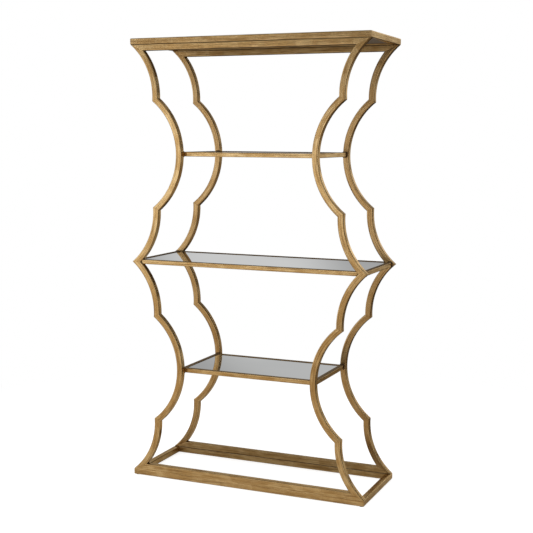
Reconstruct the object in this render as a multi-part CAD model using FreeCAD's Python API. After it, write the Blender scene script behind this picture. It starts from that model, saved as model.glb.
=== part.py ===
import FreeCAD, Part
import math
import os

from FreeCAD import Vector

# Etagere of welded square tube: two scalloped frames, a cap, a base and three shelves with mirrors.
# All sizes are in millimetres. X runs along the width, Y from front to back, Z up from the floor.

# Overall size
overall_width = 1219.2
overall_depth = 460.0
overall_height = 2171.7

# Square tube of the frames, cap and base, and the flat along each corner of the cap and base bars
tube_size = 30.0
bar_ease = 2.0

# Scalloped legs, measured on their outer edge: the cusps from the side of the piece and from the waist,
# and the waist from the line of the cusps
cusp_inset = 117.3
cusp_rise = 256.4
waist_depth = 127.8

# Square tube of the shelf frames
shelf_tube_size = 22.0
shelf_tube_ease = 1.5

# Upper and lower shelf: leg face left clear outside each end, and height beyond the waist
waist_shelf_reveal = 9.0
waist_shelf_shift = 3.5

# Middle shelf: leg tip left clear outside each end, and how far its rails are coped into the legs
middle_shelf_reveal = 15.0
middle_rail_cope = 6.0

# Mirror panels on their backing boards, set a little below the top of their frames
panel_recess = 2.5
panel_clearance = 1.0
mirror_thickness = 5.0
shelf_backing_thickness = 6.0
top_backing_thickness = 15.0

# Flat tabs that carry the panels, placed along a long side in shares of its half length
tab_length = 30.0
tab_reach = 14.0
tab_thickness = 3.0
long_side_tab_shares = (-0.5, 0.5)

# Floor glides under the corners of the base
glide_diameter = 22.0
glide_height = 2.5
glide_ease = 0.8

# Least cosine at which an edge counts as running along a bar
along_share = 0.999

# Heights of the scalloped frames
frame_bottom = glide_height + tube_size
frame_top = overall_height - tube_size
frame_middle = (frame_bottom + frame_top) / 2
lobe_half_height = (frame_top - frame_bottom) / 4

# Places in plan
half_width = overall_width / 2
half_depth = overall_depth / 2
inside_depth = half_depth - tube_size

# Curves of one lobe of the right leg, with heights measured from its waist
outer_radius = (cusp_rise ** 2 + waist_depth ** 2) / (2 * waist_depth)
inner_radius = outer_radius + tube_size
cusp_x = half_width - cusp_inset
waist_x = cusp_x - waist_depth
outer_cusp = Vector(cusp_x, 0, cusp_rise)
outer_tip = Vector(half_width, 0, lobe_half_height)
waist_centre = Vector(waist_x + outer_radius, 0, 0)


def unit(vector):
    """The vector at length one."""
    return vector / vector.Length


def centre_of_end_arc():
    """Centre of the arc of the same radius that runs from the cusp to the tip."""
    chord = outer_tip - outer_cusp
    outwards = unit(Vector(chord.z, 0, -chord.x))
    return (outer_tip + outer_cusp) / 2 + outwards * math.sqrt(outer_radius ** 2 - (chord.Length / 2) ** 2)


end_centre = centre_of_end_arc()


def inside_of_cusp():
    """Where the inner edges of the two arcs cross, on the mitre line through the outer cusp."""
    between = (waist_centre + end_centre) / 2
    half_gap = (end_centre - waist_centre).Length / 2
    return between + unit(outer_cusp - between) * math.sqrt(inner_radius ** 2 - half_gap ** 2)


inner_cusp = inside_of_cusp()


def inner_edge_at(height):
    """Point on the inner edge of the end arc at a height above the waist."""
    across = math.sqrt(inner_radius ** 2 - (height - end_centre.z) ** 2)
    return Vector(end_centre.x - across, 0, height)


def below_waist(point):
    """The matching point of the lobe's lower half."""
    return Vector(point.x, 0, -point.z)


def arc_edge(centre, start, end):
    """The shorter arc about a centre from one point to another."""
    towards = unit((start - centre) + (end - centre))
    return Part.Arc(start, centre + towards * (start - centre).Length, end).toShape()


def eased(bar, size, axis):
    """The bar with a flat along each edge that runs along an axis."""
    long_edges = []
    for edge in bar.Edges:
        start, end = (vertex.Point for vertex in edge.Vertexes)
        if abs(unit(end - start).dot(axis)) > along_share:
            long_edges.append(edge)
    return bar.makeChamfer(size, long_edges)


def block(low, high):
    """A box between two corners."""
    size = high - low
    return Part.makeBox(size.x, size.y, size.z, low)


def prism(corners, along):
    """A flat polygon drawn out along a vector."""
    return Part.Face(Part.makePolygon(corners + corners[:1])).extrude(along)


def rolled_arc(centre, outer_ends, inner_ends):
    """Rolled tube of a right front leg about a centre, mitred from its outer to its inner ends."""
    edges = [
        arc_edge(centre, *outer_ends),
        Part.makeLine(outer_ends[1], inner_ends[1]),
        arc_edge(centre, inner_ends[1], inner_ends[0]),
        Part.makeLine(inner_ends[0], outer_ends[0]),
    ]
    return Part.Face(Part.Wire(edges)).extrude(Vector(0, tube_size, 0))


def right_front_leg():
    """The six arcs of the right front leg, named from top to bottom."""
    rail_corner = inner_edge_at(lobe_half_height - tube_size)
    middle_notch = inner_edge_at(lobe_half_height)
    end_arc = rolled_arc(end_centre, (outer_cusp, outer_tip), (inner_cusp, rail_corner))
    middle_arc = rolled_arc(end_centre, (outer_cusp, outer_tip), (inner_cusp, middle_notch))
    waist_arc = rolled_arc(
        waist_centre, (below_waist(outer_cusp), outer_cusp), (below_waist(inner_cusp), inner_cusp)
    )
    waist = Vector(0, 0, 0)
    upwards = Vector(0, 0, 1)
    to_place = Vector(0, -half_depth, frame_middle + lobe_half_height)
    upper = {
        "top_arc": end_arc,
        "upper_waist_arc": waist_arc,
        "upper_middle_arc": middle_arc.mirror(waist, upwards),
    }
    upper = {name: arc.translated(to_place) for name, arc in upper.items()}
    lower_names = {
        "upper_middle_arc": "lower_middle_arc",
        "upper_waist_arc": "lower_waist_arc",
        "top_arc": "bottom_arc",
    }
    middle = Vector(0, 0, frame_middle)
    lower = {lower_names[name]: arc.mirror(middle, upwards) for name, arc in upper.items()}
    return {**upper, **lower}


def legs():
    """The arcs of all four legs."""
    centre = Vector(0, 0, 0)
    to_back = Vector(0, overall_depth - tube_size, 0)
    pieces = {}
    for arc_name, right in right_front_leg().items():
        left = right.mirror(centre, Vector(1, 0, 0))
        for side, arc in (("left", left), ("right", right)):
            pieces[f"front_{side}_leg_{arc_name}"] = arc
            pieces[f"back_{side}_leg_{arc_name}"] = arc.translated(to_back)
    return pieces


def frame_rails():
    """Top and bottom rail of the two frames, mitred to the ends of the legs."""
    corner_x = inner_edge_at(lobe_half_height - tube_size).x
    pieces = {}
    for level, edge, inwards in (("top", frame_top, -tube_size), ("bottom", frame_bottom, tube_size)):
        outline = [
            Vector(-half_width, -half_depth, edge),
            Vector(half_width, -half_depth, edge),
            Vector(corner_x, -half_depth, edge + inwards),
            Vector(-corner_x, -half_depth, edge + inwards),
        ]
        rail = prism(outline, Vector(0, tube_size, 0))
        pieces[f"front_{level}_rail"] = rail
        pieces[f"back_{level}_rail"] = rail.translated(Vector(0, overall_depth - tube_size, 0))
    return pieces


def mitred_frame(half_x, half_y, size, ease, bottom):
    """Front, back, left and right bar of a flat frame of square tube with mitred corners."""
    upwards = Vector(0, 0, size)
    front = prism(
        [
            Vector(-half_x, -half_y, bottom),
            Vector(half_x, -half_y, bottom),
            Vector(half_x - size, size - half_y, bottom),
            Vector(size - half_x, size - half_y, bottom),
        ],
        upwards,
    )
    left = prism(
        [
            Vector(-half_x, -half_y, bottom),
            Vector(size - half_x, size - half_y, bottom),
            Vector(size - half_x, half_y - size, bottom),
            Vector(-half_x, half_y, bottom),
        ],
        upwards,
    )
    front = eased(front, ease, Vector(1, 0, 0))
    left = eased(left, ease, Vector(0, 1, 0))
    centre = Vector(0, 0, 0)
    return {
        "front": front,
        "back": front.mirror(centre, Vector(0, 1, 0)),
        "left": left,
        "right": left.mirror(centre, Vector(1, 0, 0)),
    }


def cap_and_base():
    """The two mitred frames that lie on top of and under the scalloped frames."""
    pieces = {}
    for name, bottom in (("cap", frame_top), ("base", glide_height)):
        for side, bar in mitred_frame(half_width, half_depth, tube_size, bar_ease, bottom).items():
            pieces[f"{name}_{side}_bar"] = bar
    return pieces


def spanning_block(corner, opposite, drop):
    """A flat between two corners of its top, whichever way round they come, as thick as the drop."""
    low = Vector(min(corner.x, opposite.x), min(corner.y, opposite.y), corner.z)
    high = Vector(max(corner.x, opposite.x), max(corner.y, opposite.y), corner.z)
    return block(low - drop, high)


def panel(name, half_x, half_y, frame_height, backing_thickness):
    """Mirror and backing board of one level, and the tabs inside its frame that carry them."""
    reach = Vector(half_x - panel_clearance, half_y - panel_clearance, 0)
    mirror_top = Vector(0, 0, frame_height - panel_recess)
    seam = mirror_top - Vector(0, 0, mirror_thickness)
    underside = seam - Vector(0, 0, backing_thickness)
    pieces = {
        f"{name}_mirror": block(seam - reach, mirror_top + reach),
        f"{name}_backing": block(underside - reach, seam + reach),
    }
    drop = Vector(0, 0, tab_thickness)
    along_x = Vector(tab_length / 2, 0, 0)
    along_y = Vector(0, tab_length / 2, 0)
    tabs = []
    for side in (-1, 1):
        for share in long_side_tab_shares:
            edge = underside + Vector(share * half_x, side * half_y, 0)
            inner = edge - Vector(0, side * tab_reach, 0)
            tabs.append(spanning_block(edge - along_x, inner + along_x, drop))
        edge = underside + Vector(side * half_x, 0, 0)
        inner = edge - Vector(side * tab_reach, 0, 0)
        tabs.append(spanning_block(edge - along_y, inner + along_y, drop))
    return pieces, tabs


def waist_shelf_frames():
    """Frames of the upper and lower shelf, held between the waists of the front and back legs."""
    from_middle = lobe_half_height + waist_shelf_shift
    half_x = waist_x - waist_shelf_reveal
    pieces = {}
    for name, side in (("upper", 1), ("lower", -1)):
        bottom = frame_middle + side * from_middle - shelf_tube_size / 2
        bars = mitred_frame(half_x, inside_depth, shelf_tube_size, shelf_tube_ease, bottom)
        for place, bar in bars.items():
            pieces[f"{name}_shelf_{place}_rail"] = bar
    return pieces


def middle_shelf_frame(leg_arcs):
    """Rails of the middle shelf: front and back coped into the legs' notches, sides between the legs."""
    half_height = shelf_tube_size / 2
    rail_end = inner_edge_at(lobe_half_height - half_height).x + middle_rail_cope
    front = block(
        Vector(-rail_end, -inside_depth - shelf_tube_size, frame_middle - half_height),
        Vector(rail_end, -inside_depth, frame_middle + half_height),
    )
    front = eased(front, shelf_tube_ease, Vector(1, 0, 0))
    notches = [arc for name, arc in leg_arcs.items() if "front" in name and "middle_arc" in name]
    front = front.cut(notches).Solids[0]
    side_end = half_width - middle_shelf_reveal
    right = block(
        Vector(side_end - shelf_tube_size, -inside_depth, frame_middle - half_height),
        Vector(side_end, inside_depth, frame_middle + half_height),
    )
    right = eased(right, shelf_tube_ease, Vector(0, 1, 0))
    centre = Vector(0, 0, 0)
    return {
        "middle_shelf_front_rail": front,
        "middle_shelf_back_rail": front.mirror(centre, Vector(0, 1, 0)),
        "middle_shelf_left_rail": right.mirror(centre, Vector(1, 0, 0)),
        "middle_shelf_right_rail": right,
    }


def panels():
    """Mirrors, backing boards and support tabs of the top and the three shelves."""
    waist_half_x = waist_x - waist_shelf_reveal - shelf_tube_size
    waist_half_y = inside_depth - shelf_tube_size
    middle_half_x = half_width - middle_shelf_reveal - shelf_tube_size
    from_middle = lobe_half_height + waist_shelf_shift
    shelf_top = frame_middle + shelf_tube_size / 2
    levels = (
        ("top", half_width - tube_size, inside_depth, overall_height, top_backing_thickness),
        ("upper_shelf", waist_half_x, waist_half_y, shelf_top + from_middle, shelf_backing_thickness),
        ("middle_shelf", middle_half_x, inside_depth, shelf_top, shelf_backing_thickness),
        ("lower_shelf", waist_half_x, waist_half_y, shelf_top - from_middle, shelf_backing_thickness),
    )
    pieces = {}
    tabs = []
    for level in levels:
        level_pieces, level_tabs = panel(*level)
        pieces.update(level_pieces)
        tabs.extend(level_tabs)
    pieces["panel_support_tabs"] = Part.makeCompound(tabs)
    return pieces


def floor_glides():
    """Discs under the base's corners, centred on its bars, with an eased lower rim."""
    glides = []
    for x in (tube_size / 2 - half_width, half_width - tube_size / 2):
        for y in (tube_size / 2 - half_depth, half_depth - tube_size / 2):
            disc = Part.makeCylinder(glide_diameter / 2, glide_height, Vector(x, y, 0))
            rim = min(disc.Edges, key=lambda edge: edge.BoundBox.ZMax)
            glides.append(disc.makeChamfer(glide_ease, [rim]))
    return {"floor_glides": Part.makeCompound(glides)}


def etagere():
    """Every piece of the etagere by name."""
    leg_arcs = legs()
    return {
        **leg_arcs,
        **frame_rails(),
        **cap_and_base(),
        **waist_shelf_frames(),
        **middle_shelf_frame(leg_arcs),
        **panels(),
        **floor_glides(),
    }


os.makedirs("parts", exist_ok=True)
for node, shape in etagere().items():
    shape.exportStep(f"parts/{node}.step")
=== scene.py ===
import math

import bmesh
import bpy
from mathutils import Matrix, Vector


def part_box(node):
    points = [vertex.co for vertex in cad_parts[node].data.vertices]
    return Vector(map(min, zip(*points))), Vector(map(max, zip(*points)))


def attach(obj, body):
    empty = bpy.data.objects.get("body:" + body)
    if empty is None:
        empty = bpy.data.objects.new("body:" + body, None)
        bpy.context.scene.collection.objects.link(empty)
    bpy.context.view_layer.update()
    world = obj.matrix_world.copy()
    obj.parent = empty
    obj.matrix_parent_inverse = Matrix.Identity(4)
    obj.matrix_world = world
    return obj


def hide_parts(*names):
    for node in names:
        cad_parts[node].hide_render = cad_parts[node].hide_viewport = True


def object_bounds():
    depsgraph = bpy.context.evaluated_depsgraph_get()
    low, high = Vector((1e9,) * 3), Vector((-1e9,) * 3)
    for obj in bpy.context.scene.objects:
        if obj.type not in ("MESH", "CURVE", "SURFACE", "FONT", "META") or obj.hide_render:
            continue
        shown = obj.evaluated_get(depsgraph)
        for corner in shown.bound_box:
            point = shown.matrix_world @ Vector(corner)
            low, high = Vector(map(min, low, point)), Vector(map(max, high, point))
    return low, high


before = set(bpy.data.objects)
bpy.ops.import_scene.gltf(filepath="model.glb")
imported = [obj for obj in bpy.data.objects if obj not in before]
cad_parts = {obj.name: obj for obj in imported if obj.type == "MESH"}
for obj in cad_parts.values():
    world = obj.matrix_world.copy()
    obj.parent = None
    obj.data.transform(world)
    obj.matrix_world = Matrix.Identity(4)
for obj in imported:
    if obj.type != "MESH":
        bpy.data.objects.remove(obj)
cad_low, cad_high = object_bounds()

# Rounded corners of the square tubes and the turns they are rolled in
frame_tube_corner = 0.0038
shelf_tube_corner = 0.0028
corner_segments = 6
# Reach of the rubbed wear and of the painted edge highlight from a corner onto the flats
edge_wear_and_highlight_reach = 0.006
roll_step = math.radians(2)
roll_overrun = math.radians(9)
sharp_angle = math.radians(40)

# Each bar starts its leaf pattern this much further along, so that no two bars look alike
pattern_shift = 1.37

# Distance given to a joint that a bar doesn't have
far_from_joint = 1.0

# Camera, in the image of 533 by 533 pixels
image_size = 533
focal_pixels = 1077.8
sensor_width = 36
camera_reach = 100
camera_place = Vector((2.09097, -4.84142, 1.70972))
camera_yaw = math.radians(-23.210)
camera_pitch = math.radians(-6.936)
camera_roll = math.radians(-0.294)


def shader_node(tree, kind, inputs=None, **settings):
    """A node with its settings and its inputs, which are values or the outputs of other nodes."""
    made = tree.nodes.new(kind)
    for name, value in settings.items():
        setattr(made, name, value)
    for name, value in (inputs or {}).items():
        if isinstance(value, bpy.types.NodeSocket):
            tree.links.new(value, made.inputs[name])
        else:
            made.inputs[name].default_value = value
    return made


def calculate(tree, operation, first, second=0.0, third=0.0):
    """Output of a Math node."""
    made = shader_node(tree, "ShaderNodeMath", {0: first, 1: second, 2: third}, operation=operation)
    return made.outputs[0]


def stretched_noise(tree, place, scale, detail, roughness=0.55):
    """Noise drawn out by a different scale along each axis."""
    mapping = shader_node(tree, "ShaderNodeMapping", {"Vector": place, "Scale": scale})
    noise = shader_node(
        tree,
        "ShaderNodeTexNoise",
        {
            "Vector": mapping.outputs["Vector"],
            "Scale": 1.0,
            "Detail": detail,
            "Roughness": roughness,
        },
    )
    return noise.outputs["Fac"]


def tone_between(tree, value, low, high, to_low=0.0, to_high=1.0):
    """A value taken smoothly from one range to another."""
    made = shader_node(
        tree,
        "ShaderNodeMapRange",
        {"Value": value, "From Min": low, "From Max": high, "To Min": to_low, "To Max": to_high},
        interpolation_type="SMOOTHSTEP",
    )
    return made.outputs["Result"]


def blended(tree, share, first, second):
    """One colour over another by a share."""
    made = shader_node(tree, "ShaderNodeMix", {"Factor": share}, data_type="RGBA")
    for socket, value in ((made.inputs[6], first), (made.inputs[7], second)):
        if isinstance(value, bpy.types.NodeSocket):
            tree.links.new(value, socket)
        else:
            socket.default_value = value
    return made.outputs[2]


def roughened(tree, surface, height, strength, depth):
    """Gives a surface relief from a height."""
    relief = {"Height": height, "Strength": strength, "Distance": depth}
    bump = shader_node(tree, "ShaderNodeBump", relief)
    tree.links.new(bump.outputs["Normal"], surface.inputs["Normal"])


def new_finish(name):
    """An empty material with its tree, surface shader and output."""
    finish = bpy.data.materials.new(name)
    finish.use_nodes = True
    tree = finish.node_tree
    tree.nodes.clear()
    surface = tree.nodes.new("ShaderNodeBsdfPrincipled")
    output = tree.nodes.new("ShaderNodeOutputMaterial")
    tree.links.new(surface.outputs["BSDF"], output.inputs["Surface"])
    return finish, tree, surface


# Colours of the leaf, from the rubbed edges with their painted highlight down to the umber glaze and
# painted shade in the corners
rubbed_and_highlit_leaf = (0.68, 0.50, 0.26, 1)
bright_leaf = (0.56, 0.385, 0.175, 1)
plain_leaf = (0.42, 0.255, 0.092, 1)
brown_leaf = (0.18, 0.094, 0.030, 1)
umber_glaze_and_painted_shade = (0.040, 0.026, 0.016, 1)
leaf_at_grazing = (0.82, 0.74, 0.62, 1)

# Sizes of the leaf's marks, per metre: along the bar, then round it
streak_scale = (4.5, 170, 1)
hair_scale = (16, 560, 1)
mottle_scale = (15, 38, 1)
speck_scale = (420, 700, 1)
leaf_scale = (10.5, 9, 1)
leaf_unevenness = 0.55
joint_glaze_reach = 0.005

# What makes a place on the leaf lighter or darker
sheets_in_lightness = 0.14
mottle_in_lightness = 0.86
hairs_in_darkness = 0.35
streaks_in_darkness = 0.65

# Ranges of the marks, with the shares of the next colour that they lead to
bright_range = (0.40, 0.66)
brown_range, brown_shares = (0.47, 0.66), (0.0, 0.85)
lap_range, lap_shares = (0.0, 0.014), (0.35, 0.0)
rubbed_and_highlit_range, rubbed_and_highlit_shares = (0.38, 0.62), (0.45, 0.05)
joint_range, joint_shares = (0.4 * joint_glaze_reach, 1.6 * joint_glaze_reach), (1.0, 0.0)
side_range, side_shares = (0.30, 0.60), (1.0, 0.75)
speck_range, speck_shares = (0.75, 0.81), (0.0, 0.6)

# Gloss and relief of the leaf, and what umber and painted shade do to them
gloss_range, leaf_roughness = (0.35, 0.70), (0.16, 0.25)
umber_and_shade_roughness = 0.40
leaf_metal = 0.95
metal_lost_to_umber_and_shade = 0.92
leaf_specular = 0.05
hairs_in_relief = 0.10
laps_in_relief = 0.2
relief_strength = 0.5
relief_depth = 0.0008

# The back legs and the cap's front are painted darker in brown than the rest, as painted shade
back_leg_painted_shade = 0.45
cap_front_painted_shade = 0.22

# The back rails are burnished less
dull_roughness = 0.22

# How much umber stays in mitres, in open seams, in the filled seam, at welded ends and on shelf tops;
# apart from the mitres, the dark there is also painted shade: in the seams, under the top rails, at the
# welded ends and on the shelves' tops and rebates
mitre_umber = 0.08
seam_umber_and_shade = 0.95
filled_seam_umber_and_shade = 0.20
welded_end_umber_and_shade = 0.95
shelf_top_umber_and_shade = {"upper_shelf": 0.92, "middle_shelf": 0.97, "lower_shelf": 0.74}

# What each bar tells its finish
bar_marks = (
    "rubbed_and_highlit_edge",
    "brown_painted_shade",
    "dull_leaf",
    "umber_and_shade_on_sides",
    "umber_and_shade_at_joints",
    "from_first_joint",
    "from_second_joint",
)


def gold_leaf_finish():
    """Aged gold leaf on the bars: streaked, mottled, rubbed on the edges with a painted highlight there,
    with umber and painted shade in the seams and on the shelf tops, and painted shade in brown on the back
    legs and the cap's front.
    """
    finish, tree, surface = new_finish("aged_gold_leaf")
    place = shader_node(tree, "ShaderNodeUVMap", uv_map="along_bar").outputs["UV"]
    marks = {}
    for name in bar_marks:
        marks[name] = shader_node(tree, "ShaderNodeAttribute", attribute_name=name).outputs["Fac"]

    streaks = stretched_noise(tree, place, streak_scale, detail=3, roughness=0.6)
    hairs = stretched_noise(tree, place, hair_scale, detail=2)
    mottle = stretched_noise(tree, place, mottle_scale, detail=3, roughness=0.5)
    specks = stretched_noise(tree, place, speck_scale, detail=1)
    leaves = shader_node(tree, "ShaderNodeMapping", {"Vector": place, "Scale": leaf_scale})
    leaf = {"Vector": leaves.outputs["Vector"], "Scale": 1.0, "Randomness": leaf_unevenness}
    sheets = shader_node(tree, "ShaderNodeTexVoronoi", leaf, voronoi_dimensions="2D")
    laps = shader_node(
        tree,
        "ShaderNodeTexVoronoi",
        leaf,
        voronoi_dimensions="2D",
        feature="DISTANCE_TO_EDGE",
    )
    sheet_colour = shader_node(tree, "ShaderNodeSeparateColor", {"Color": sheets.outputs["Color"]})
    sheet_tone = sheet_colour.outputs["Red"]

    lightness = calculate(tree, "MULTIPLY", mottle, mottle_in_lightness)
    lightness = calculate(tree, "MULTIPLY_ADD", sheet_tone, sheets_in_lightness, lightness)
    colour = blended(tree, tone_between(tree, lightness, *bright_range), plain_leaf, bright_leaf)
    darkness = calculate(tree, "MULTIPLY", streaks, streaks_in_darkness)
    darkness = calculate(tree, "MULTIPLY_ADD", hairs, hairs_in_darkness, darkness)
    colour = blended(tree, tone_between(tree, darkness, *brown_range, *brown_shares), colour, brown_leaf)
    # Painted shade: the back legs and the cap's front darkened in brown
    colour = blended(tree, marks["brown_painted_shade"], colour, brown_leaf)
    lap_lines = tone_between(tree, laps.outputs["Distance"], *lap_range, *lap_shares)
    colour = blended(tree, lap_lines, colour, brown_leaf)
    # Rubbed edges: wear, and a painted highlight along every corner's crown
    rubbing_and_highlight = tone_between(tree, streaks, *rubbed_and_highlit_range, *rubbed_and_highlit_shares)
    rubbing_and_highlight = calculate(tree, "MULTIPLY", marks["rubbed_and_highlit_edge"], rubbing_and_highlight)
    colour = blended(tree, rubbing_and_highlight, colour, rubbed_and_highlit_leaf)

    # Umber in the joints, with painted shade at the welded ends; umber and painted shade on the seam
    # sides, under the top rails and on the shelf tops; worn specks
    nearest = calculate(tree, "MINIMUM", marks["from_first_joint"], marks["from_second_joint"])
    ragged = calculate(tree, "MULTIPLY_ADD", mottle, joint_glaze_reach, nearest)
    joint = tone_between(tree, ragged, *joint_range, *joint_shares)
    joint = calculate(tree, "MULTIPLY", joint, marks["umber_and_shade_at_joints"])
    side = tone_between(tree, streaks, *side_range, *side_shares)
    side = calculate(tree, "MULTIPLY", marks["umber_and_shade_on_sides"], side)
    worn = tone_between(tree, specks, *speck_range, *speck_shares)
    umber = calculate(tree, "MAXIMUM", calculate(tree, "MAXIMUM", joint, side), worn)
    colour = blended(tree, umber, colour, umber_glaze_and_painted_shade)
    tree.links.new(colour, surface.inputs["Base Color"])

    roughness = tone_between(tree, darkness, *gloss_range, *leaf_roughness)
    roughness = calculate(tree, "MULTIPLY_ADD", umber, umber_and_shade_roughness, roughness)
    roughness = calculate(tree, "MULTIPLY_ADD", marks["dull_leaf"], dull_roughness, roughness)
    tree.links.new(roughness, surface.inputs["Roughness"])
    metal = calculate(tree, "MULTIPLY_ADD", umber, -metal_lost_to_umber_and_shade, leaf_metal)
    tree.links.new(metal, surface.inputs["Metallic"])
    surface.inputs["Specular Tint"].default_value = leaf_at_grazing
    surface.inputs["Specular IOR Level"].default_value = leaf_specular

    relief = calculate(tree, "MULTIPLY_ADD", hairs, hairs_in_relief, streaks)
    relief = calculate(tree, "MULTIPLY_ADD", lap_lines, laps_in_relief, relief)
    roughened(tree, surface, relief, relief_strength, relief_depth)
    return finish


# The middle of a noise's values, where most of it lies
noise_middle = (0.3, 0.7)

# Silvering of the mirrors
silver_scale = (2.2, 4, 4)
dull_silver = (0.83, 0.85, 0.845, 1)
clear_silver = (0.88, 0.895, 0.89, 1)


def mirror_finish():
    """Silvered glass, a little uneven in its silvering."""
    finish, tree, surface = new_finish("silvered_glass")
    place = shader_node(tree, "ShaderNodeTexCoord").outputs["Object"]
    shade = tone_between(tree, stretched_noise(tree, place, silver_scale, detail=3), *noise_middle)
    tree.links.new(blended(tree, shade, dull_silver, clear_silver), surface.inputs["Base Color"])
    surface.inputs["Roughness"].default_value = 0.0
    surface.inputs["Metallic"].default_value = 1.0
    return finish


# Ground edges of the mirrors
grinding_scale = (300, 300, 60)
dark_edge = (0.030, 0.034, 0.030, 1)
pale_edge = (0.075, 0.085, 0.078, 1)
edge_roughness = (0.25, 0.5)


def glass_edge_finish():
    """Ground edge of the mirrors, dark against their silvering."""
    finish, tree, surface = new_finish("ground_glass_edge")
    place = shader_node(tree, "ShaderNodeTexCoord").outputs["Object"]
    grinding = stretched_noise(tree, place, grinding_scale, detail=3)
    tree.links.new(blended(tree, grinding, dark_edge, pale_edge), surface.inputs["Base Color"])
    roughness = tone_between(tree, grinding, *noise_middle, *edge_roughness)
    tree.links.new(roughness, surface.inputs["Roughness"])
    return finish


# Fibre board under the mirrors
rolling_scale = (9, 70, 70)
fibre_scale = (420, 700, 700)
dark_board = (0.19, 0.145, 0.10, 1)
pale_board = (0.27, 0.21, 0.15, 1)
fibre_colour = (0.12, 0.09, 0.065, 1)
fibre_range, fibre_shares = (0.55, 0.75), (0.0, 0.35)
board_roughness = (0.70, 0.85)
board_specular = 0.1
fibre_strength = 0.25
fibre_depth = 0.0004


def backing_board_finish():
    """Fibre board with a brown wash."""
    finish, tree, surface = new_finish("washed_board")
    place = shader_node(tree, "ShaderNodeTexCoord").outputs["Object"]
    rolled = stretched_noise(tree, place, rolling_scale, detail=4)
    fibres = stretched_noise(tree, place, fibre_scale, detail=3)
    colour = blended(tree, rolled, dark_board, pale_board)
    colour = blended(tree, tone_between(tree, fibres, *fibre_range, *fibre_shares), colour, fibre_colour)
    tree.links.new(colour, surface.inputs["Base Color"])
    roughness = tone_between(tree, rolled, *noise_middle, *board_roughness)
    tree.links.new(roughness, surface.inputs["Roughness"])
    surface.inputs["Specular IOR Level"].default_value = board_specular
    roughened(tree, surface, fibres, fibre_strength, fibre_depth)
    return finish


# Crust of the weld beads
crust_scale = (260, 260, 260)
crust_range = (0.42, 0.68)
weld_roughness = (0.62, 0.42)
weld_metal = 0.55
crust_strength = 0.4
crust_depth = 0.0008


def weld_and_painted_shadow_finish():
    """Dark umber on the weld beads, standing as painted contact shadow where the shelves meet the legs,
    with leaf on their crowns.
    """
    finish, tree, surface = new_finish("weld_glaze_and_painted_shadow")
    place = shader_node(tree, "ShaderNodeTexCoord").outputs["Object"]
    crust = stretched_noise(tree, place, crust_scale, detail=4)
    colour = blended(tree, tone_between(tree, crust, *crust_range), umber_glaze_and_painted_shade, brown_leaf)
    tree.links.new(colour, surface.inputs["Base Color"])
    roughness = tone_between(tree, crust, *noise_middle, *weld_roughness)
    tree.links.new(roughness, surface.inputs["Roughness"])
    surface.inputs["Metallic"].default_value = weld_metal
    roughened(tree, surface, crust, crust_strength, crust_depth)
    return finish


# Nylon of the floor glides
grain_scale = (900, 900, 900)
dark_nylon = (0.010, 0.010, 0.009, 1)
pale_nylon = (0.026, 0.025, 0.023, 1)
nylon_roughness = (0.5, 0.65)


def nylon_finish():
    """Dark moulded nylon of the floor glides."""
    finish, tree, surface = new_finish("moulded_nylon")
    place = shader_node(tree, "ShaderNodeTexCoord").outputs["Object"]
    grain = stretched_noise(tree, place, grain_scale, detail=2)
    tree.links.new(blended(tree, grain, dark_nylon, pale_nylon), surface.inputs["Base Color"])
    roughness = tone_between(tree, grain, *noise_middle, *nylon_roughness)
    tree.links.new(roughness, surface.inputs["Roughness"])
    return finish


gold_leaf = gold_leaf_finish()
silvered_glass = mirror_finish()
ground_edge = glass_edge_finish()
washed_board = backing_board_finish()
weld_glaze_and_painted_shadow = weld_and_painted_shadow_finish()
moulded_nylon = nylon_finish()


def finished_piece(name, bm, finishes, slot, *nodes):
    """The piece that a bmesh holds, in place of the solids that it stands for."""
    bmesh.ops.recalc_face_normals(bm, faces=bm.faces)
    mesh = bpy.data.meshes.new(name)
    bm.to_mesh(mesh)
    bm.free()
    for finish in finishes:
        mesh.materials.append(finish)
    mesh.shade_smooth()
    mesh.set_sharp_from_angle(angle=sharp_angle)
    made = bpy.data.objects.new(name, mesh)
    bpy.context.scene.collection.objects.link(made)
    made.modifiers.new("flat_sides", "WEIGHTED_NORMAL").keep_sharp = True
    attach(made, "root")
    if nodes:
        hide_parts(*nodes)
    return made


def tube_outline(bm, size, corner):
    """Open outline of a square tube with rounded corners, flat about the origin."""
    square = bmesh.ops.create_grid(bm, x_segments=1, y_segments=1, size=size / 2)
    bmesh.ops.bevel(
        bm,
        geom=square["verts"],
        offset=corner,
        offset_type="OFFSET",
        affect="VERTICES",
        segments=corner_segments,
        profile=0.5,
        material=-1,
    )
    bmesh.ops.delete(bm, geom=bm.faces[:], context="FACES_ONLY")
    # Lines where the rubbed wear and the painted edge highlight end on the flats
    wear_and_highlight_line = size / 2 - edge_wear_and_highlight_reach
    for across in ((1, 0, 0), (-1, 0, 0), (0, 1, 0), (0, -1, 0)):
        bmesh.ops.bisect_plane(
            bm,
            geom=bm.verts[:] + bm.edges[:],
            plane_co=wear_and_highlight_line * Vector(across),
            plane_no=across,
        )


def mitred(bm, outer, inner, outwards):
    """Cuts a bar on the plane through an outer and an inner corner, and gives a point and the normal."""
    along_cut = (inner - outer).normalized()
    normal = (outwards - outwards.dot(along_cut) * along_cut).normalized()
    bmesh.ops.bisect_plane(
        bm,
        geom=bm.verts[:] + bm.edges[:] + bm.faces[:],
        plane_co=outer,
        plane_no=normal,
        clear_outer=True,
    )
    return outer, normal


def ends_closed(bm):
    """Closes the open ends of a bar."""
    bmesh.ops.holes_fill(bm, edges=[edge for edge in bm.edges if edge.is_boundary], sides=0)


def way_round(across, up, half):
    """Way round a square section, from the middle of one side."""
    if abs(across) >= abs(up):
        return up if across > 0 else 4 * half - up
    return 2 * half - across if up > 0 else 6 * half + across


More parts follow.
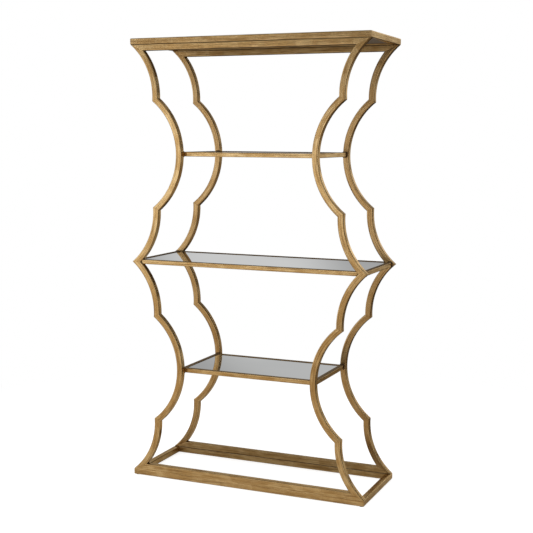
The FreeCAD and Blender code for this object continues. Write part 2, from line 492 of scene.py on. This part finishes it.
def edge_rub_and_highlight(across, up, half, corner):
    """Share of rubbed wear and painted highlight: one on the crown of a rounded corner, falling to zero on
    the flats beside it.
    """
    to_crown = math.hypot(half - abs(across), half - abs(up)) - corner * (math.sqrt(2) - 1)
    return max(1 - to_crown / edge_wear_and_highlight_reach, 0.0)


# How fast umber and painted shade come in round a corner, and how far round they start
umber_and_shade_gain = 1.6
umber_and_shade_start = 0.3
bars_made = []


def lay_leaf(
    bm,
    run_of,
    section_of,
    size,
    corner,
    joints,
    umber_ways=(),
    side_umber_and_shade=0.0,
    joint_umber_and_shade=mitre_umber,
    painted_brown_shade=0.0,
    dull=0.0,
):
    """Maps a bar along its run and round its section, and marks what its finish needs.

    Umber and painted shade are left on the sides that the ways face, each a way across and a way up.
    """
    for name in bar_marks:
        bm.verts.layers.float.new(name)
    bm.loops.layers.uv.new("along_bar")
    marks = bm.verts.layers.float
    gaps = [marks["from_first_joint"], marks["from_second_joint"]]
    pattern = bm.loops.layers.uv["along_bar"]
    half = size / 2
    for vertex in bm.verts:
        across, up = section_of(vertex.co)
        reach = max((across * way[0] + up * way[1] for way in umber_ways), default=0.0)
        past_flat = umber_and_shade_gain * (reach - half + corner) / corner - umber_and_shade_start
        vertex[marks["rubbed_and_highlit_edge"]] = edge_rub_and_highlight(across, up, half, corner)
        vertex[marks["umber_and_shade_on_sides"]] = side_umber_and_shade * min(max(past_flat, 0.0), 1.0)
        vertex[marks["umber_and_shade_at_joints"]] = joint_umber_and_shade
        vertex[marks["brown_painted_shade"]] = painted_brown_shade
        vertex[marks["dull_leaf"]] = dull
        for gap in gaps:
            vertex[gap] = far_from_joint
        for gap, (point, normal) in zip(gaps, joints):
            vertex[gap] = (point - vertex.co).dot(normal)
    start = len(bars_made) * pattern_shift
    once_round = 4 * size
    for face in bm.faces:
        rounds = [way_round(*section_of(loop.vert.co), half) for loop in face.loops]
        for loop, way in zip(face.loops, rounds):
            if max(rounds) - way > once_round / 2:
                way += once_round
            loop[pattern].uv = (start + run_of(loop.vert.co), way)


def leafed_bar(node, bm):
    """A bar in gold leaf in place of its solid."""
    bars_made.append(node)
    return finished_piece(node + "_tube", bm, [gold_leaf], "gold_leaf", node)


# Curves of the right leg's upper lobe in its own plane, with heights measured from the waist
waist_low, waist_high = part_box("front_right_leg_upper_waist_arc")
top_low, top_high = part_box("front_right_leg_top_arc")
bottom_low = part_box("front_right_leg_bottom_arc")[0]
frame_tube = waist_high.y - waist_low.y
waist_height = (waist_low.z + waist_high.z) / 2
frame_middle = (bottom_low.z + top_high.z) / 2
lobe_half_height = top_high.z - waist_height
outer_cusp = Vector((waist_high.x, 0, top_low.z - waist_height))
outer_tip = Vector((top_high.x, 0, lobe_half_height))
waist_depth = waist_high.x - waist_low.x - frame_tube
outer_radius = (outer_cusp.z ** 2 + waist_depth ** 2) / (2 * waist_depth)
middle_radius = outer_radius + frame_tube / 2
inner_radius = outer_radius + frame_tube
waist_centre = Vector((waist_low.x + frame_tube + outer_radius, 0, 0))


def centre_of_end_arc():
    """Centre of the arc from the cusp to the tip."""
    chord = outer_tip - outer_cusp
    outwards = Vector((chord.z, 0, -chord.x)).normalized()
    from_chord = math.sqrt(outer_radius ** 2 - (chord.length / 2) ** 2)
    return (outer_tip + outer_cusp) / 2 + outwards * from_chord


end_centre = centre_of_end_arc()


def inside_of_cusp():
    """Where the inner edges of the two arcs cross."""
    between = (waist_centre + end_centre) / 2
    half_gap = (end_centre - waist_centre).length / 2
    from_between = math.sqrt(inner_radius ** 2 - half_gap ** 2)
    return between + (outer_cusp - between).normalized() * from_between


def inner_edge_at(height):
    """Point on the inner edge of the end arc at a height above the waist."""
    across = math.sqrt(inner_radius ** 2 - (height - end_centre.z) ** 2)
    return Vector((end_centre.x - across, 0, height))


inner_cusp = inside_of_cusp()
rail_corner = inner_edge_at(lobe_half_height - frame_tube)
middle_notch = inner_edge_at(lobe_half_height)


def turn_about(centre, point):
    """Angle of a point about a centre in the leg's plane."""
    return math.atan2(point.x - centre.x, point.z - centre.z)


def rolled_tube(centre, start, end, painted_brown_shade):
    """A tube rolled about a centre from mitre to mitre, each given by an outer and an inner point."""
    bm = bmesh.new()
    tube_outline(bm, frame_tube, frame_tube_corner)
    first = turn_about(centre, start[0])
    sweep = math.remainder(turn_about(centre, end[0]) - first, math.tau)
    overrun = math.copysign(roll_overrun, sweep)
    to_middle = Matrix.Translation((0, 0, middle_radius)) @ Matrix.Rotation(math.pi / 2, 4, "X")
    to_section = Matrix.Translation(centre) @ Matrix.Rotation(first - overrun, 4, "Y") @ to_middle
    to_section = to_section @ Matrix.Rotation(math.pi / 2, 4, "X")
    to_section = to_section @ Matrix.Rotation(math.pi / 2, 4, "Y")
    bmesh.ops.transform(bm, matrix=to_section, verts=bm.verts)
    whole = sweep + 2 * overrun
    bmesh.ops.spin(
        bm,
        geom=bm.verts[:] + bm.edges[:],
        cent=centre,
        axis=(0, 1, 0),
        angle=whole,
        steps=math.ceil(abs(whole) / roll_step),
        use_duplicate=False,
    )
    joints = [mitred(bm, *start, start[0] - end[0]), mitred(bm, *end, end[0] - start[0])]
    ends_closed(bm)

    def run_of(point):
        return middle_radius * math.remainder(turn_about(centre, point) - first, math.tau)

    def section_of(point):
        from_centre = math.hypot(point.x - centre.x, point.z - centre.z)
        return middle_radius - from_centre, point.y

    lay_leaf(bm, run_of, section_of, frame_tube, frame_tube_corner, joints, painted_brown_shade=painted_brown_shade)
    return bm


def below(points):
    """The same points in the lower half of a lobe."""
    return tuple(Vector((point.x, 0, -point.z)) for point in points)


cusp_mitre = (outer_cusp, inner_cusp)
corner_mitre = (outer_tip, rail_corner)
middle_mitre = (outer_tip, middle_notch)
low_end_centre = below([end_centre])[0]

# Arcs of a leg: centre, mitres and whether they lie in its upper or lower lobe
leg_arcs = {
    "top_arc": (end_centre, cusp_mitre, corner_mitre, 1),
    "upper_waist_arc": (waist_centre, below(cusp_mitre), cusp_mitre, 1),
    "upper_middle_arc": (low_end_centre, below(middle_mitre), below(cusp_mitre), 1),
    "lower_middle_arc": (end_centre, cusp_mitre, middle_mitre, -1),
    "lower_waist_arc": (waist_centre, below(cusp_mitre), cusp_mitre, -1),
    "bottom_arc": (low_end_centre, below(corner_mitre), below(cusp_mitre), -1),
}


def build_legs():
    """The six rolled arcs of each of the four legs."""
    for front in ("front", "back"):
        for side, mirrored in (("left", -1), ("right", 1)):
            for arc, (centre, start, end, lobe) in leg_arcs.items():
                node = f"{front}_{side}_leg_{arc}"
                low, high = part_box(node)
                place = Vector((0, (low.y + high.y) / 2, frame_middle + lobe * lobe_half_height))
                # The back legs get painted shade in brown
                bm = rolled_tube(centre, start, end, back_leg_painted_shade if front == "back" else 0.0)
                bmesh.ops.scale(bm, vec=(mirrored, 1, 1), verts=bm.verts)
                bmesh.ops.translate(bm, vec=place, verts=bm.verts)
                leafed_bar(node, bm)


def straight_tube(node, size, corner, cuts, umber_and_shade_sides=(), **leaf_marks_and_shade):
    """A straight tube in the box of its solid, longest way along X or Y, cut on its mitres."""
    low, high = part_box(node)
    middle = (low + high) / 2
    length = high - low
    bm = bmesh.new()
    tube_outline(bm, size, corner)
    if length.x > length.y:
        along = Vector((1, 0, 0))
        to_end = Matrix.Rotation(math.pi / 2, 4, "Y")
    else:
        along = Vector((0, 1, 0))
        to_end = Matrix.Rotation(-math.pi / 2, 4, "X")
    to_start = Matrix.Translation(middle - along * length.dot(along) / 2) @ to_end
    bmesh.ops.transform(bm, matrix=to_start, verts=bm.verts)
    drawn = bmesh.ops.extrude_edge_only(bm, edges=bm.edges[:])
    ends = [item for item in drawn["geom"] if isinstance(item, bmesh.types.BMVert)]
    bmesh.ops.translate(bm, vec=along * length.dot(along), verts=ends)
    joints = [mitred(bm, *cut) for cut in cuts]
    ends_closed(bm)
    sideways = Vector((0, 0, 1)).cross(along)
    inside = (-math.copysign(1, middle.dot(sideways)), 0)
    ways = {"top": (0, 1), "bottom": (0, -1), "inside": inside}
    leaf_marks_and_shade["umber_ways"] = [ways[side] for side in umber_and_shade_sides]

    def run_of(point):
        return (point - middle).dot(along)

    def section_of(point):
        return (point - middle).dot(sideways), point.z - middle.z

    one_at_each_end = joints[:: max(len(joints) // 2, 1)]
    lay_leaf(bm, run_of, section_of, size, corner, one_at_each_end, **leaf_marks_and_shade)
    return bm


def build_frame_rails():
    """Top and bottom rail of the front and back frame, mitred to the legs."""
    for front in ("front", "back"):
        for level, outer_height, lobe in (("top", top_high.z, 1), ("bottom", bottom_low.z, -1)):
            cuts = []
            for side in (-1, 1):
                outer = Vector((side * outer_tip.x, 0, outer_height))
                inner = Vector((side * rail_corner.x, 0, outer_height - lobe * frame_tube))
                cuts.append((outer, inner, Vector((side, 0, 0))))
            node = f"{front}_{level}_rail"
            # Umber and painted shade in the rail's seam and along its underside
            leaf_marks_and_shade = {"umber_and_shade_sides": [level, "bottom"], "side_umber_and_shade": seam_umber_and_shade_of(node)}
            leaf_marks_and_shade["dull"] = 1.0 if front == "back" else 0.0
            leafed_bar(node, straight_tube(node, frame_tube, frame_tube_corner, cuts, **leaf_marks_and_shade))


def seam_umber_and_shade_of(node):
    """Umber and painted shade in the seam between a frame's rail and the bar that it lies on."""
    return filled_seam_umber_and_shade if node in ("front_bottom_rail", "base_front_bar") else seam_umber_and_shade


def flat_frame(name, size, corner, part, umber_and_shade_sides):
    """Front, back, left and right tube of a flat frame with mitred corners."""
    half_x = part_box(f"{name}_front_{part}")[1].x
    half_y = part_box(f"{name}_back_{part}")[1].y
    for place in ("front", "back", "left", "right"):
        cuts = []
        for side in (-1, 1):
            if place in ("front", "back"):
                end = Vector((side, -1 if place == "front" else 1, 0))
                outwards = Vector((side, 0, 0))
            else:
                end = Vector((-1 if place == "left" else 1, side, 0))
                outwards = Vector((0, side, 0))
            outer = Vector((end.x * half_x, end.y * half_y, 0))
            cuts.append((outer, outer - size * end, outwards))
        node = f"{name}_{place}_{part}"
        # Umber and painted shade on the shelf rails' tops and rebates, and in the seams of the cap's and
        # the base's front and back bars
        if part == "rail":
            tone = shelf_top_umber_and_shade[name]
        else:
            tone = seam_umber_and_shade_of(node) if place in ("front", "back") else 0.0
        leaf_marks_and_shade = {"umber_and_shade_sides": umber_and_shade_sides, "side_umber_and_shade": tone}
        # Painted shade in brown on the cap's front bar
        leaf_marks_and_shade["painted_brown_shade"] = cap_front_painted_shade if node == "cap_front_bar" else 0.0
        leaf_marks_and_shade["dull"] = 1.0 if node in ("cap_back_bar", "base_back_bar") else 0.0
        leafed_bar(node, straight_tube(node, size, corner, cuts, **leaf_marks_and_shade))


shelf_low, shelf_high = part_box("middle_shelf_front_rail")
shelf_tube = shelf_high.y - shelf_low.y
rebate = ("top", "inside")


def build_middle_shelf():
    """Rails of the middle shelf: front and back in the legs' notches, left and right between the legs."""
    half_height = shelf_tube / 2
    notch_edge = inner_edge_at(lobe_half_height - half_height).x
    leaf_marks_and_shade = {"umber_and_shade_sides": rebate, "side_umber_and_shade": shelf_top_umber_and_shade["middle_shelf"]}
    for front in ("front", "back"):
        cuts = []
        for side in (-1, 1):
            for level in (-1, 1):
                outer = Vector((side * middle_notch.x, 0, frame_middle))
                inner = Vector((side * notch_edge, 0, frame_middle + level * half_height))
                cuts.append((outer, inner, Vector((side, 0, 0))))
        node = f"middle_shelf_{front}_rail"
        # Umber and painted contact shadow at the ends in the legs' notches
        at_ends = {"joint_umber_and_shade": welded_end_umber_and_shade}
        leafed_bar(node, straight_tube(node, shelf_tube, shelf_tube_corner, cuts, **leaf_marks_and_shade, **at_ends))
    for side in ("left", "right"):
        node = f"middle_shelf_{side}_rail"
        leafed_bar(node, straight_tube(node, shelf_tube, shelf_tube_corner, [], **leaf_marks_and_shade))


# Weld beads: radius, lift off the corner, length of a ripple, and creases and tips as shares of the crowns
weld_radius = 0.0032
weld_lift = weld_radius / 4
weld_ripple = 0.0036
weld_crease = 0.82
weld_tip = 0.35
weld_sides = 10


def weld_bead(bm, start, end):
    """A rippled bead of weld from one point to another."""
    run = end - start
    ripples = max(round(run.length / weld_ripple), 2)
    turned = run.to_track_quat("Z", "Y").to_matrix().to_4x4()
    crowns = []
    for step in range(1, 2 * ripples):
        crowns.append((step / (2 * ripples), 1.0 if step % 2 else weld_crease))
    crowns.append((1.0, weld_tip))
    bmesh.ops.create_circle(
        bm,
        cap_ends=True,
        segments=weld_sides,
        radius=weld_radius * weld_tip,
        matrix=Matrix.Translation(start) @ turned,
    )
    bm.faces.ensure_lookup_table()
    end_face = bm.faces[-1]
    ring = weld_tip
    reached = 0.0
    for along, width in crowns:
        drawn = bmesh.ops.extrude_face_region(bm, geom=[end_face])["geom"]
        end_face = [item for item in drawn if isinstance(item, bmesh.types.BMFace)][0]
        middle = start + reached * run
        bmesh.ops.scale(
            bm,
            vec=Vector((1, 1, 1)) * width / ring,
            space=Matrix.Translation(-middle),
            verts=end_face.verts[:],
        )
        bmesh.ops.translate(bm, vec=(along - reached) * run, verts=end_face.verts[:])
        ring = width
        reached = along


def build_welds_with_painted_shadow():
    """Beads above, below and outside the ends of the shelves' side rails, against the legs, whose dark
    glaze paints the contact shadow there.
    """
    bm = bmesh.new()
    for shelf in ("upper", "middle", "lower"):
        low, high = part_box(f"{shelf}_shelf_right_rail")
        for side in (-1, 1):
            for end in (-1, 1):
                leg_face = end * (high.y - weld_lift)
                outer = side * (high.x + weld_lift)
                inner = side * low.x
                weld_bead(bm, Vector((outer, leg_face, low.z)), Vector((outer, leg_face, high.z)))
                for level in (low.z - weld_lift, high.z + weld_lift):
                    weld_bead(bm, Vector((inner, leg_face, level)), Vector((outer, leg_face, level)))
    finished_piece("shelf_welds_with_painted_shadow", bm, [weld_glaze_and_painted_shadow], "gold_leaf")


# Filler in the front seam: how far behind the face, how thick, and how far up and down
filler_depth = 0.0004
filler_thickness = 0.0034
filler_half_height = 0.0034


def build_seam_filler():
    """Filler in the front seam between the base and the bottom rail, under the same leaf."""
    low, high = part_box("base_front_bar")
    seam = high.z
    length = high.x - low.x - 2 * frame_tube_corner
    middle = low.y + filler_depth + filler_thickness / 2
    bm = bmesh.new()
    bmesh.ops.create_cube(bm, size=1)
    bmesh.ops.scale(bm, vec=(length, filler_thickness, 2 * filler_half_height), verts=bm.verts)
    bmesh.ops.translate(bm, vec=(0, middle, seam), verts=bm.verts)

    def run_of(point):
        return point.x

    def section_of(point):
        return frame_tube / 2, point.z - seam

    lay_leaf(bm, run_of, section_of, frame_tube, frame_tube_corner, [])
    finished_piece("front_base_seam_filler", bm, [gold_leaf], "gold_leaf")


# Eased edges of the mirrors and boards
mirror_arris = 0.0012
board_ease = 0.0008
ease_segments = 2


def eased_plate(node, ease):
    """A plate in the box of its solid with its edges eased."""
    low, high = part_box(node)
    bm = bmesh.new()
    bmesh.ops.create_cube(bm, size=1)
    bmesh.ops.scale(bm, vec=high - low, verts=bm.verts)
    bmesh.ops.translate(bm, vec=(low + high) / 2, verts=bm.verts)
    bmesh.ops.bevel(
        bm,
        geom=bm.edges[:],
        offset=ease,
        offset_type="OFFSET",
        affect="EDGES",
        segments=ease_segments,
        profile=0.5,
        material=-1,
    )
    return bm


def build_panels():
    """Mirrors with ground edges, on their backing boards."""
    for level in ("top", "upper_shelf", "middle_shelf", "lower_shelf"):
        node = f"{level}_mirror"
        bm = eased_plate(node, mirror_arris)
        silvered_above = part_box(node)[1].z - mirror_arris / 10
        for face in bm.faces:
            face.material_index = 0 if face.calc_center_median().z > silvered_above else 1
        finished_piece(f"{level}_mirror_plate", bm, [silvered_glass, ground_edge], "mirror", node)
        node = f"{level}_backing"
        bm = eased_plate(node, board_ease)
        finished_piece(f"{level}_backing_board", bm, [washed_board], "backing_board", node)


def build_etagere():
    """All the pieces of the etagere."""
    build_legs()
    build_frame_rails()
    for name, seam_side in (("cap", "bottom"), ("base", "top")):
        flat_frame(name, frame_tube, frame_tube_corner, "bar", [seam_side])
    for name in ("upper_shelf", "lower_shelf"):
        flat_frame(name, shelf_tube, shelf_tube_corner, "rail", rebate)
    build_middle_shelf()
    build_panels()
    build_welds_with_painted_shadow()
    build_seam_filler()
    for node, finish in (("panel_support_tabs", weld_glaze_and_painted_shadow), ("floor_glides", moulded_nylon)):
        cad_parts[node].data.materials.clear()
        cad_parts[node].data.materials.append(finish)


build_etagere()


def set_camera():
    """Camera at the photograph's place."""
    forward = Vector(
        (
            math.sin(camera_yaw) * math.cos(camera_pitch),
            math.cos(camera_yaw) * math.cos(camera_pitch),
            math.sin(camera_pitch),
        )
    )
    level_right = Vector((math.cos(camera_yaw), -math.sin(camera_yaw), 0))
    level_down = forward.cross(level_right)
    right = math.cos(camera_roll) * level_right + math.sin(camera_roll) * level_down
    down = math.cos(camera_roll) * level_down - math.sin(camera_roll) * level_right
    turned = Matrix((right, -down, -forward)).transposed().to_4x4()
    data = bpy.data.cameras.new("camera")
    data.sensor_width = sensor_width
    data.lens = sensor_width * focal_pixels / image_size
    data.clip_end = camera_reach
    camera = bpy.data.objects.new("camera", data)
    camera.matrix_world = Matrix.Translation(camera_place) @ turned
    bpy.context.scene.collection.objects.link(camera)
    bpy.context.scene.camera = camera


def softbox(name, target, place, width, height, power):
    """A soft rectangular lamp turned to a target."""
    data = bpy.data.lights.new(name, "AREA")
    data.shape = "RECTANGLE"
    data.size = width
    data.size_y = height
    data.energy = power
    lamp = bpy.data.objects.new(name, data)
    lamp.location = place
    lamp.visible_glossy = False
    lamp.rotation_mode = "QUATERNION"
    lamp.rotation_quaternion = (Vector(target) - Vector(place)).to_track_quat("-Z", "Y")
    bpy.context.scene.collection.objects.link(lamp)


plain_white = (1, 1, 1, 1)

# Floor, and how far from the middle its shadow turns to plain white
floor_half_size = 6
floor_colour = (0.55, 0.55, 0.55, 1)
floor_glow = 0.78
shadow_reach = (1.4, 2.6)

# The floor in the metal: where it ends, and its tones in the open and under the piece, where a painted
# shadow darkens it
reach_in_metal = (0.9, 1.5)
floor_in_metal = 0.38
painted_shade_in_metal = 0.17
painted_shade_below = (0.18, 0.29)
floor_tint = (1.0, 0.89, 0.77, 1)


def mixed_light(tree, share, first, second):
    """One shader over another by a share."""
    shaders = {"Fac": share, 1: first.outputs[0], 2: second.outputs[0]}
    return shader_node(tree, "ShaderNodeMixShader", shaders)


def lay_floor():
    """Pale floor that reads white to the camera and keeps the shadow under the piece."""
    bm = bmesh.new()
    bmesh.ops.create_grid(bm, x_segments=1, y_segments=1, size=floor_half_size)
    mesh = bpy.data.meshes.new("floor")
    bm.to_mesh(mesh)
    bm.free()
    floor = bpy.data.objects.new("floor", mesh)
    bpy.context.scene.collection.objects.link(floor)
    finish = bpy.data.materials.new("pale_floor")
    finish.use_nodes = True
    tree = finish.node_tree
    tree.nodes.clear()
    path = shader_node(tree, "ShaderNodeLightPath")
    place = shader_node(tree, "ShaderNodeTexCoord").outputs["Object"]
    away = shader_node(tree, "ShaderNodeVectorMath", {0: place}, operation="LENGTH").outputs["Value"]
    far = tone_between(tree, away, *shadow_reach)
    matt = shader_node(tree, "ShaderNodeBsdfDiffuse", {"Color": floor_colour})
    strength = calculate(tree, "MULTIPLY", path.outputs["Is Camera Ray"], floor_glow)
    parts = shader_node(tree, "ShaderNodeSeparateXYZ", {"Vector": place}).outputs
    depth = calculate(tree, "ABSOLUTE", parts["Y"])
    # Painted shadow: the floor glows less for the metal under the piece
    floor_with_painted_shade = tone_between(tree, depth, *painted_shade_below, painted_shade_in_metal, floor_in_metal)
    strength = calculate(tree, "MULTIPLY_ADD", path.outputs["Is Glossy Ray"], floor_with_painted_shade, strength)
    tint = blended(tree, path.outputs["Is Glossy Ray"], plain_white, floor_tint)
    glow = shader_node(tree, "ShaderNodeEmission", {"Color": tint, "Strength": strength})
    near_floor = shader_node(tree, "ShaderNodeAddShader", {0: matt.outputs[0], 1: glow.outputs[0]})
    white = shader_node(tree, "ShaderNodeEmission", {"Strength": 1.0})
    white_far = calculate(tree, "MULTIPLY", far, path.outputs["Is Camera Ray"])
    surface = mixed_light(tree, white_far, near_floor, white)
    glossy, through = path.outputs["Is Glossy Ray"], path.outputs["Is Transmission Ray"]
    mirrored = calculate(tree, "MAXIMUM", glossy, through)
    gone = calculate(tree, "MULTIPLY", mirrored, tone_between(tree, away, *reach_in_metal))
    surface = mixed_light(tree, gone, surface, shader_node(tree, "ShaderNodeBsdfTransparent"))
    shader_node(tree, "ShaderNodeOutputMaterial", {"Surface": surface.outputs[0]})
    mesh.materials.append(finish)


# What the gold leaf sees of the studio: tones by height, which runs from minus one to one
height_range = (-1, 1)
front_left_heights = (
    (-0.45, 0.56),
    (-0.27, 0.62),
    (-0.215, 0.92),
    (-0.14, 1.08),
    (-0.08, 1.25),
    (-0.03, 2.00),
    (0.022, 1.95),
    (0.048, 0.66),
    (0.09, 0.22),
    (0.13, 0.42),
    (0.20, 1.60),
    (0.28, 1.60),
    (0.36, 0.80),
    (0.55, 0.60),
    (0.75, 0.20),
    (1.0, 0.20),
)
front_right_heights = (
    (-0.45, 0.76),
    (-0.22, 0.68),
    (-0.14, 0.50),
    (-0.08, 0.94),
    (-0.035, 2.05),
    (0.002, 1.75),
    (0.026, 0.16),
    (0.10, 0.05),
    (0.14, 0.15),
    (0.20, 0.40),
    (0.36, 0.40),
    (0.55, 0.35),
    (0.75, 0.20),
    (1.0, 0.20),
)
back_left_heights = (
    (-0.30, 0.03),
    (-0.20, 0.06),
    (-0.10, 0.35),
    (-0.04, 0.75),
    (0.03, 0.80),
    (0.08, 0.38),
    (0.25, 0.36),
    (0.33, 0.80),
    (0.55, 0.60),
    (0.75, 0.20),
    (1.0, 0.20),
)

# What the sides of the left legs and of the right legs see behind the piece
left_leg_heights = (
    (-0.50, 0.40),
    (-0.40, 0.55),
    (-0.30, 0.55),
    (-0.22, 0.45),
    (-0.08, 0.65),
    (0.0, 0.75),
    (0.05, 0.45),
    (0.10, 0.01),
    (0.16, 0.0),
    (0.70, 0.0),
    (0.80, 0.20),
    (1.0, 0.20),
)
right_leg_heights = (
    (-0.40, 0.02),
    (-0.30, 0.04),
    (-0.20, 0.16),
    (-0.12, 0.60),
    (-0.05, 0.98),
    (0.0, 1.0),
    (0.025, 1.30),
    (0.05, 1.20),
    (0.075, 0.56),
    (0.10, 0.56),
    (0.13, 1.95),
    (0.28, 1.95),
    (0.33, 1.60),
    (0.50, 1.20),
    (0.60, 0.30),
    (0.75, 0.20),
    (1.0, 0.20),
)

# Tones by side, in degrees from the front towards the right
turn_range = (-180, 180)
sides = (
    (-180, 1.0),
    (-120, 0.9),
    (-90, 0.8),
    (-45, 1.0),
    (20, 1.0),
    (46, 0.50),
    (56, 0.03),
    (140, 0.03),
    (147, 1.0),
    (180, 1.0),
)

# A pale wall on the right, above eye level: tones by side, and the heights at which it comes in
right_wall = ((-180, 0.0), (20, 0.0), (36, 0.55), (108, 0.55), (124, 0.0), (180, 0.0))
right_wall_foot = (0.04, 0.13)

# Where one part of the studio goes over into the next
front_to_back = (-0.15, 0.15)
front_left_to_right = (-0.43, -0.27)
back_left_to_right = (0.0, 0.15)
left_to_right_legs = (0.898, 0.918)

# The mirrors see a plainer and paler studio, so that they look alike from all sides
mirror_heights = (
    (-0.30, 0.50),
    (0.0, 0.66),
    (0.06, 0.60),
    (0.09, 0.38),
    (0.25, 0.37),
    (0.31, 0.52),
    (0.60, 0.60),
    (1.0, 0.60),
)

# Pale windows behind the piece, which the mirrors show: direction, half their width in degrees, tone
back_windows = (
    ((-0.412, 0.903, 0.116), 6, 0.24),
    ((-0.333, 0.917, 0.217), 7, 0.13),
)

# Low and dark parts of the studio are warm, and bright parts a little cool
warm_below = (1.0, 0.85, 0.68, 1)
warm_heights = (-0.28, -0.06)
warm_tones = (0.15, 1.4)
warm_limit = (0.10, 0.16)
cool_bright = (1.0, 1.03, 1.14, 1)
cool_tones = (1.1, 1.9)

# Light on all matt surfaces, and soft lamps: place, width, height and power
fill_level = 0.42
front_softbox = ((-2.6, -4.2, 1.6), 2.6, 2.2, 120)
ceiling_softbox = ((0.2, -0.4, 5.0), 3.2, 3.2, 90)


def tones_along(tree, value, low, high, tones):
    """Tones at given places between a low and a high value."""
    share = calculate(tree, "MULTIPLY_ADD", value, 1 / (high - low), -low / (high - low))
    ramp = shader_node(tree, "ShaderNodeValToRGB", {"Fac": share})
    stops = ramp.color_ramp.elements
    while len(stops) < len(tones):
        stops.new(0.5)
    for stop, (at, tone) in zip(stops, tones):
        stop.position = (at - low) / (high - low)
        stop.color = (tone, tone, tone, 1)
    return ramp.outputs["Color"]


def white_light(tree, strength):
    """White light from all around, of one strength or graded."""
    return shader_node(tree, "ShaderNodeBackground", {"Color": plain_white, "Strength": strength})


def light_studio():
    """White background, the studios that the leaf and the mirrors see, and soft lamps."""
    world = bpy.data.worlds.new("studio")
    world.use_nodes = True
    tree = world.node_tree
    tree.nodes.clear()
    path = shader_node(tree, "ShaderNodeLightPath")
    direction = shader_node(tree, "ShaderNodeTexCoord").outputs["Generated"]
    parts = shader_node(tree, "ShaderNodeSeparateXYZ", {"Vector": direction}).outputs
    front_left = tones_along(tree, parts["Z"], *height_range, front_left_heights)
    front_right = tones_along(tree, parts["Z"], *height_range, front_right_heights)
    back_left = tones_along(tree, parts["Z"], *height_range, back_left_heights)
    left_legs = tones_along(tree, parts["Z"], *height_range, left_leg_heights)
    right_legs = tones_along(tree, parts["Z"], *height_range, right_leg_heights)
    rightwards = tone_between(tree, parts["X"], *front_left_to_right)
    in_front = blended(tree, rightwards, front_left, front_right)
    past_left_legs = tone_between(tree, parts["Y"], *left_to_right_legs)
    by_legs = blended(tree, past_left_legs, left_legs, right_legs)
    rightwards_behind = tone_between(tree, parts["X"], *back_left_to_right)
    behind = blended(tree, rightwards_behind, back_left, by_legs)
    backwards = tone_between(tree, parts["Y"], *front_to_back)
    level = blended(tree, backwards, in_front, behind)
    turn = calculate(tree, "ARCTAN2", parts["X"], calculate(tree, "MULTIPLY", parts["Y"], -1.0))
    turn = calculate(tree, "DEGREES", turn)
    level = calculate(tree, "MULTIPLY", level, tones_along(tree, turn, *turn_range, sides))
    wall = tones_along(tree, turn, *turn_range, right_wall)
    wall = calculate(tree, "MULTIPLY", wall, tone_between(tree, parts["Z"], *right_wall_foot))
    level = calculate(tree, "MAXIMUM", level, wall)
    mirror_level = tones_along(tree, parts["Z"], *height_range, mirror_heights)
    for window, half_width, tone in back_windows:
        towards = {0: direction, 1: Vector(window).normalized()}
        nearness = shader_node(tree, "ShaderNodeVectorMath", towards, operation="DOT_PRODUCT")
        edge = math.cos(math.radians(half_width))
        pane = tone_between(tree, nearness.outputs["Value"], edge, 1.0, 0.0, tone)
        mirror_level = calculate(tree, "ADD", mirror_level, pane)
    warm_dark = tone_between(tree, level, *warm_tones, 1.0, 0.0)
    warm_dark = calculate(tree, "MULTIPLY", warm_dark, calculate(tree, "SUBTRACT", 1.0, backwards))
    below_limit = tone_between(tree, parts["Z"], *warm_limit, 1.0, 0.0)
    warm_dark = calculate(tree, "MULTIPLY", warm_dark, below_limit)
    warm_low = tone_between(tree, parts["Z"], *warm_heights, 1.0, 0.0)
    warmth = calculate(tree, "MAXIMUM", warm_dark, warm_low)
    colour = blended(tree, warmth, plain_white, warm_below)
    colour = blended(tree, tone_between(tree, level, *cool_tones), colour, cool_bright)
    in_leaf = shader_node(tree, "ShaderNodeBackground", {"Color": colour, "Strength": level})
    in_mirrors = white_light(tree, mirror_level)
    # Only the mirrors reflect quite sharply
    seen = mixed_light(tree, path.outputs["Is Singular Ray"], in_leaf, in_mirrors)
    fill = white_light(tree, fill_level)
    white = white_light(tree, 1.0)
    glossy, through = path.outputs["Is Glossy Ray"], path.outputs["Is Transmission Ray"]
    mirrored = calculate(tree, "MAXIMUM", glossy, through)
    light = mixed_light(tree, mirrored, fill, seen)
    surface = mixed_light(tree, path.outputs["Is Camera Ray"], light, white)
    shader_node(tree, "ShaderNodeOutputWorld", {"Surface": surface.outputs[0]})
    bpy.context.scene.world = world
    middle = (0, 0, (cad_low.z + cad_high.z) / 2)
    softbox("front_softbox", middle, *front_softbox)
    softbox("ceiling_softbox", middle, *ceiling_softbox)


set_camera()
lay_floor()
light_studio()
bpy.context.scene.view_settings.view_transform = "Standard"
